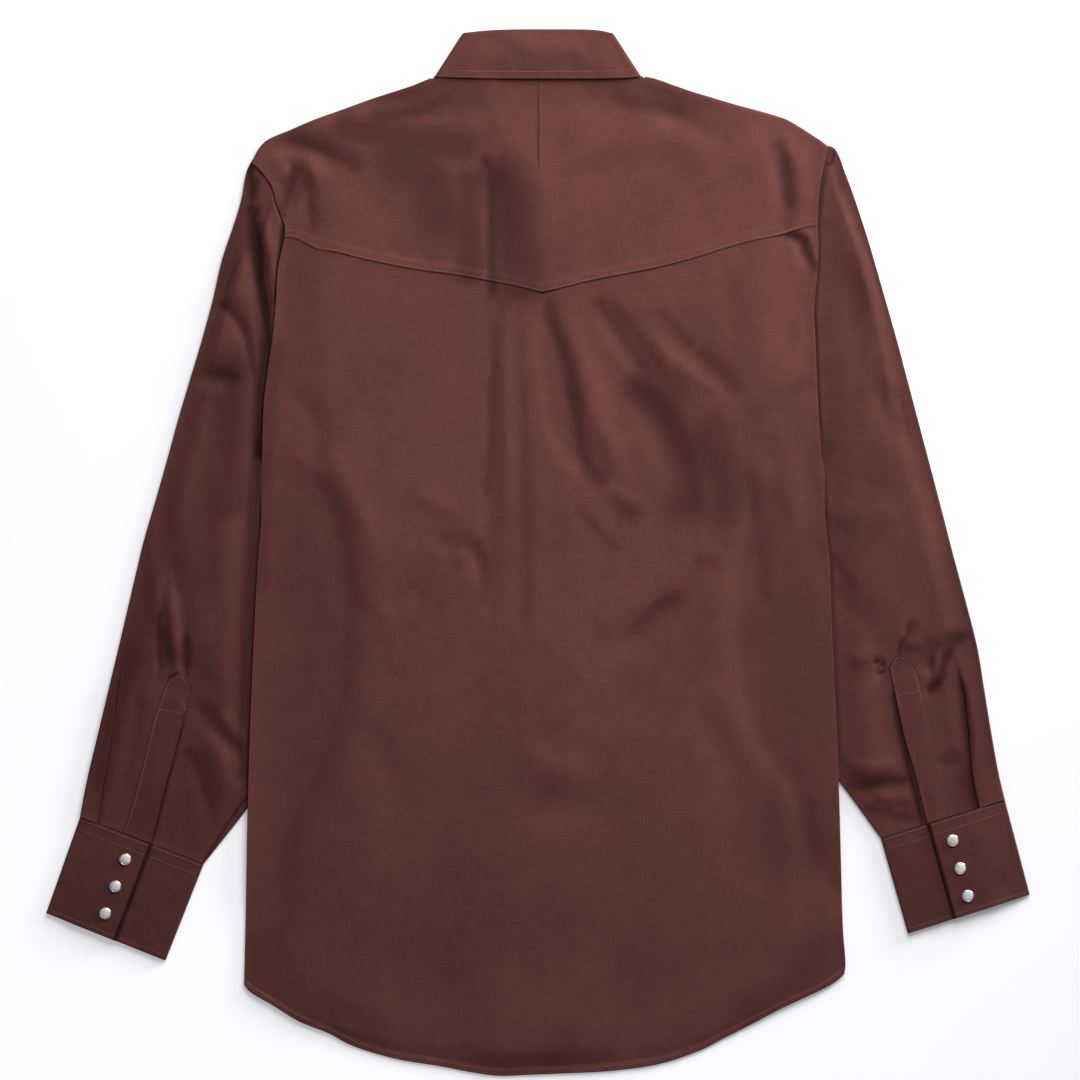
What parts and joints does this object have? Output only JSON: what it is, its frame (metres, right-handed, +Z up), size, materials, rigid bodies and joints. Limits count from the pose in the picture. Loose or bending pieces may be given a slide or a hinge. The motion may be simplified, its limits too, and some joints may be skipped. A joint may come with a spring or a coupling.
{
  "type": "western snap shirt",
  "caption": "Long-sleeved western shirt laid flat on its front: pointed back yoke, folded collar, snap cuffs with sleeve plackets and a curved shirt-tail hem.",
  "frame": {"origin": "on the surface that the shirt lies on, below the centre of its bounding box", "axes": "+Y from the hem to the collar, +Z up out of the shirt's back, -X to the wearer's left"},
  "size_m": [0.8068, 0.8579, 0.0078],
  "materials": {
    "shirt_cloth": "matte plain-woven cotton blend, chestnut brown",
    "snap_pearl": "pearl white cap with a bright metal rim"
  },
  "bodies": {
    "root": {"back": "shirt_cloth", "yoke": "shirt_cloth", "front_left": "shirt_cloth", "front_right": "shirt_cloth", "placket": "shirt_cloth", "collar_stand": "shirt_cloth", "collar": "shirt_cloth", "sleeve_left": "shirt_cloth", "sleeve_right": "shirt_cloth", "sleeve_placket_left": "shirt_cloth", "sleeve_placket_right": "shirt_cloth", "cuff_left": "shirt_cloth", "cuff_right": "shirt_cloth", "cuff_snap_left_1": "snap_pearl", "cuff_snap_left_2": "snap_pearl", "cuff_snap_left_3": "snap_pearl", "cuff_snap_right_1": "snap_pearl", "cuff_snap_right_2": "snap_pearl", "cuff_snap_right_3": "snap_pearl", "front_snap_1": "snap_pearl", "front_snap_2": "snap_pearl", "front_snap_3": "snap_pearl", "front_snap_4": "snap_pearl", "front_snap_5": "snap_pearl", "front_snap_6": "snap_pearl", "front_snap_7": "snap_pearl", "stand_snap": "snap_pearl"}
  },
  "joints": []
}
